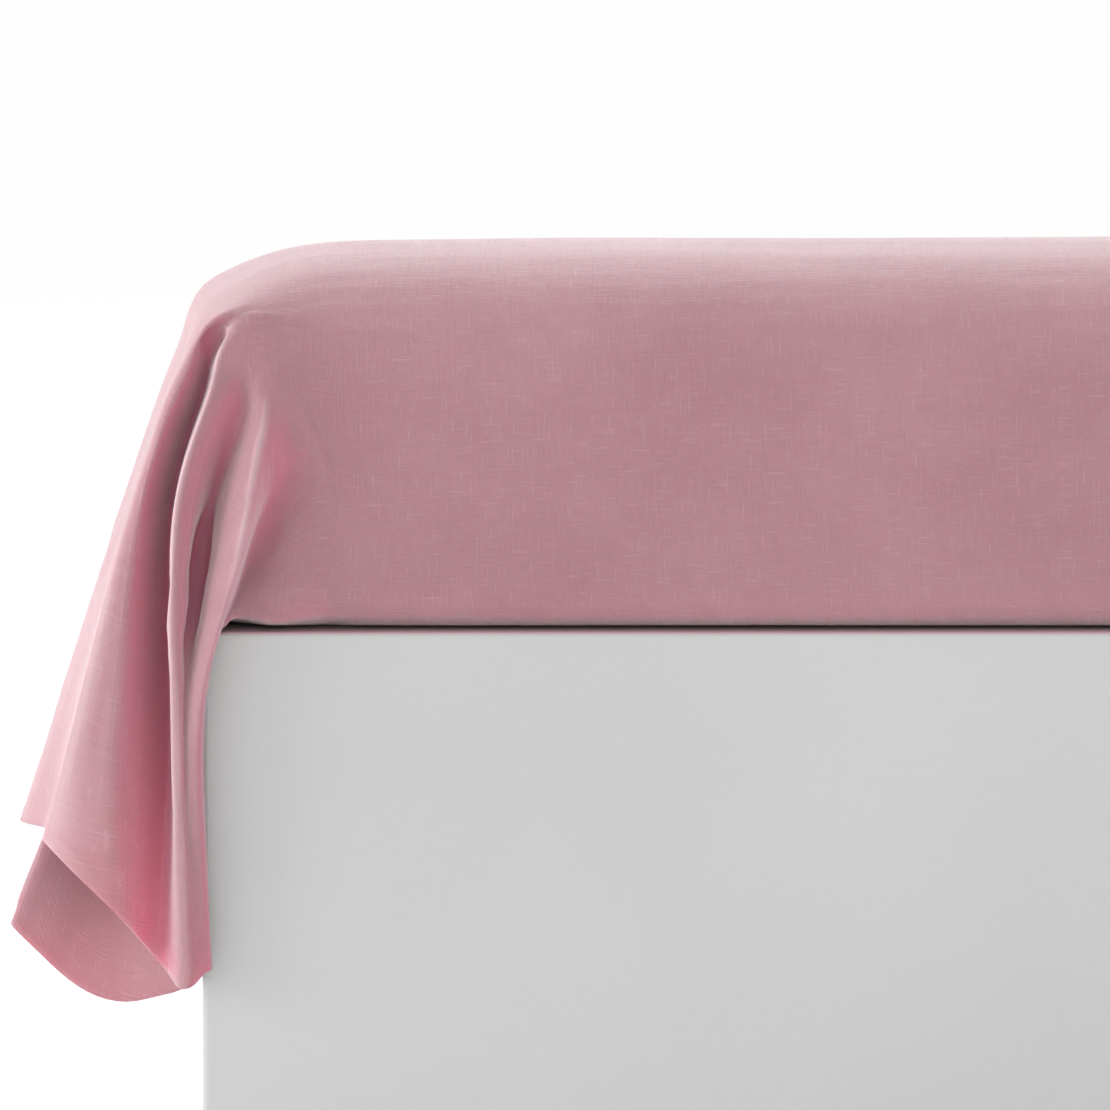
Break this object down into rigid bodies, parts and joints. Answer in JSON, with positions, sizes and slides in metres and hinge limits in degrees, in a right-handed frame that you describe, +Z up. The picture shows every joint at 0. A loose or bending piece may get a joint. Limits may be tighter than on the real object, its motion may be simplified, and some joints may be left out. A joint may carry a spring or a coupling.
{
  "type": "bolster pillowcase on mattress",
  "caption": "Bolster in a washed-linen open-ended case, laid across the head end of a plain mattress, its empty ends falling over the sides in loose folds",
  "frame": {"origin": "middle of the whole thing's footprint, on the floor under the mattress", "axes": "+X along the bolster, to the right as seen from the head end; +Y from the head end to the foot end of the mattress; +Z up"},
  "size_m": [1.5866, 1.9222, 0.4723],
  "materials": {
    "washed_linen": "dusty pink washed linen in a plain weave with slubs, matt and slightly see-through",
    "plain_ticking": "plain pale grey smooth mattress cover, matt"
  },
  "bodies": {
    "root": {"pillowcase": "washed_linen", "mattress": "plain_ticking"}
  },
  "joints": []
}
